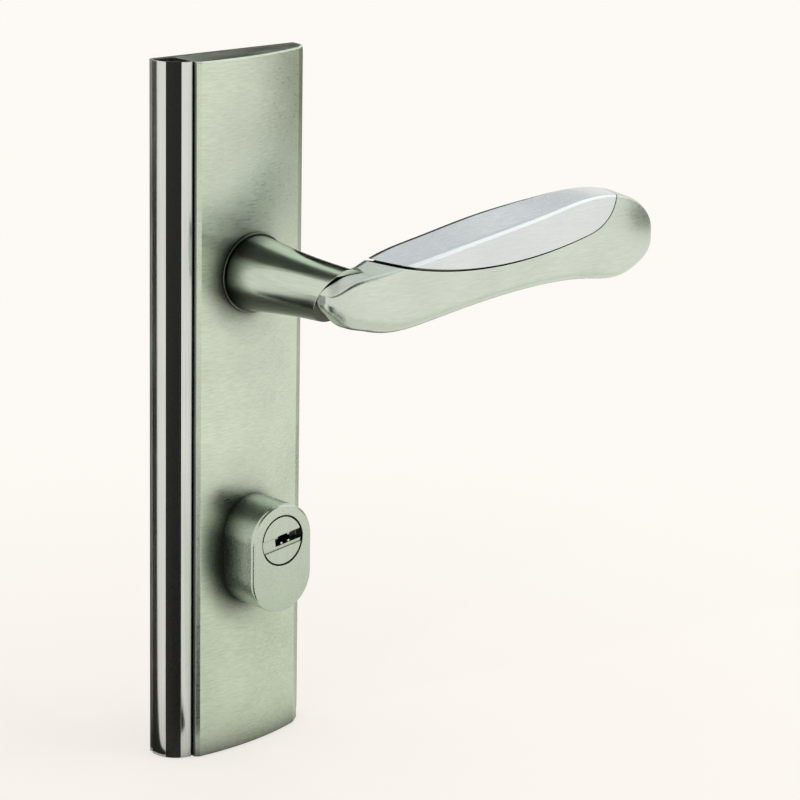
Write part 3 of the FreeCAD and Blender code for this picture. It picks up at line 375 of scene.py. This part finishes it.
# ---------------------------------------------------------------- flags
def flag_material(name, colour, strength=1.0):
    """Cloth of an even tone, whatever light falls on it."""
    material = bpy.data.materials.new(name)
    t = Tree(material)
    cloth = t.add("ShaderNodeEmission")
    t.put(cloth.inputs["Color"], colour)
    t.put(cloth.inputs["Strength"], strength)
    t.surface(cloth)
    return material


black_flag = flag_material("black_flag", rgb(12, 12, 12))
dark_flag = flag_material("dark_flag", rgb(45, 45, 42))
grey_flag = flag_material("grey_flag", rgb(136, 138, 124))
pale_flag = flag_material("pale_flag", rgb(222, 222, 222))
foot_flag = flag_material("foot_flag", rgb(234, 234, 222))
soft_glow = flag_material("soft_glow", rgb(255, 255, 255), strength=1.3)


def flag(name, corners, material):
    """Studio flag, dark or pale, that only shows in the metal's reflections."""
    item = flat_piece(name, corners, material)
    item.visible_camera = False
    item.visible_diffuse = False
    item.visible_transmission = False
    item.visible_shadow = False


def around(bearing, distance, height, centre=(0, 0)):
    """Point at a bearing round a centre, where 0 is the object's front and 90 its left."""
    angle = math.radians(bearing)
    return (centre[0] - math.sin(angle) * distance, centre[1] - math.cos(angle) * distance, height)


def standing(name, first, last, distance, low, high, material):
    """Upright flag between two bearings."""
    corners = [around(first, distance, low), around(last, distance, low),
               around(last, distance, high), around(first, distance, high)]
    flag(name, corners, material)


def lying(name, first, last, near, far, material, centre=(0, 0)):
    """Flag just above the floor, between two bearings and two distances from a centre."""
    sides = ((first, near), (first, far), (last, far), (last, near))
    height = LOW + 0.001
    flag(name, [around(bearing, distance, height, centre) for bearing, distance in sides], material)


BEAD = (-0.0325, -0.0125)
RIGHT_EDGE = (0.029, -0.005)
lying("flag_front_left", 28, 62, 0.05, 0.36, black_flag)
# mirrored by the bead's side; from 135 degrees on, since the neck mirrors 132
lying("flag_back_left", 135, 178, 0.0005, 2.4, dark_flag, BEAD)
lying("flag_back_right", -152, -112, 0.0005, 2.6, dark_flag, RIGHT_EDGE)
lying("flag_foot", -84, 8, 0.015, 0.36, foot_flag)
# mirrored by the plate's top end
standing("flag_back_right_high", -178, -131, 0.8, 0.0, 0.5, black_flag)
# mirrored by the lever's tip
standing("flag_right", -112, -60, 0.9, -0.12, 0.07, grey_flag)
flag("flag_over_front", [(-0.6, -0.8, 0.32), (0.4, -0.8, 0.32), (0.4, -0.32, 0.8),
                         (-0.6, -0.32, 0.8)], black_flag)
flag("flag_over", [(-0.1, -0.1, 1.0), (1.3, -0.1, 1.0), (1.3, 1.0, 1.0), (-0.1, 1.0, 1.0)],
     pale_flag)

# ---------------------------------------------------------------- light
SKY_LIGHT, SKY_SEEN = 0.85, 1.0  # strength where the sky lights, and where it shows

world = bpy.data.worlds.new("studio")
scene.world = world
w = Tree(world)
sky = w.add("ShaderNodeBackground")
w.put(sky.inputs["Color"], PAPER)
w.put(sky.inputs["Strength"], w.span(seen(w), 0.0, 1.0, SKY_LIGHT, SKY_SEEN))
w.put(w.add("ShaderNodeOutputWorld").inputs["Surface"], sky.outputs[0])

KEY_AIM = Vector((0.03, 0, -0.04))
KEY_PLACE = Vector((1.5, -1.1, 1.5))
KEY_SIDE = 2.0
KEY_POWER = 12.5

facing = (KEY_AIM - KEY_PLACE).to_track_quat("-Z", "Y")
light = bpy.data.lights.new("key_light", "AREA")
light.shape = "RECTANGLE"
light.size = KEY_SIDE
light.size_y = KEY_SIDE
light.energy = KEY_POWER
key_light = bpy.data.objects.new("key_light", light)
key_light.location = KEY_PLACE
key_light.rotation_euler = facing.to_euler()
key_light.visible_glossy = False
scene.collection.objects.link(key_light)
# the key light's cloth, as the metal mirrors it
half = KEY_SIDE / 2
flag("key_cloth", [tuple(KEY_PLACE + facing @ Vector((x, y, 0)))
                   for x, y in ((-half, -half), (half, -half), (half, half), (-half, half))],
     soft_glow)

# ---------------------------------------------------------------- camera
# fitted to the photo's outlines
AZIMUTH, ELEVATION, ROLL = math.radians(41.547), math.radians(13.863), math.radians(0.945)
TARGET = Vector((0.07654, 0, -0.0428))
DISTANCE = 1.22666
FOCAL_PIXELS = 3367.13
PICTURE_PIXELS = 800
SENSOR = 36
SHIFT = (0.0148, -0.06)

back = Vector((-math.sin(AZIMUTH) * math.cos(ELEVATION), -math.cos(AZIMUTH) * math.cos(ELEVATION),
               math.sin(ELEVATION)))
right = (-back).cross(Vector((0, 0, 1))).normalized()
up = right.cross(-back)
across = right * math.cos(ROLL) + up * math.sin(ROLL)
upward = up * math.cos(ROLL) - right * math.sin(ROLL)
eye = TARGET + back * DISTANCE
camera = bpy.data.cameras.new("camera")
camera.sensor_width = SENSOR
camera.lens = FOCAL_PIXELS * SENSOR / PICTURE_PIXELS
camera.shift_x, camera.shift_y = SHIFT
camera.clip_start = 0.01
camera.clip_end = 50
camera_object = bpy.data.objects.new("camera", camera)
camera_object.matrix_world = Matrix(((across.x, upward.x, back.x, eye.x),
                                     (across.y, upward.y, back.y, eye.y),
                                     (across.z, upward.z, back.z, eye.z), (0, 0, 0, 1)))
scene.collection.objects.link(camera_object)
scene.camera = camera_object
scene.view_settings.view_transform = "Standard"
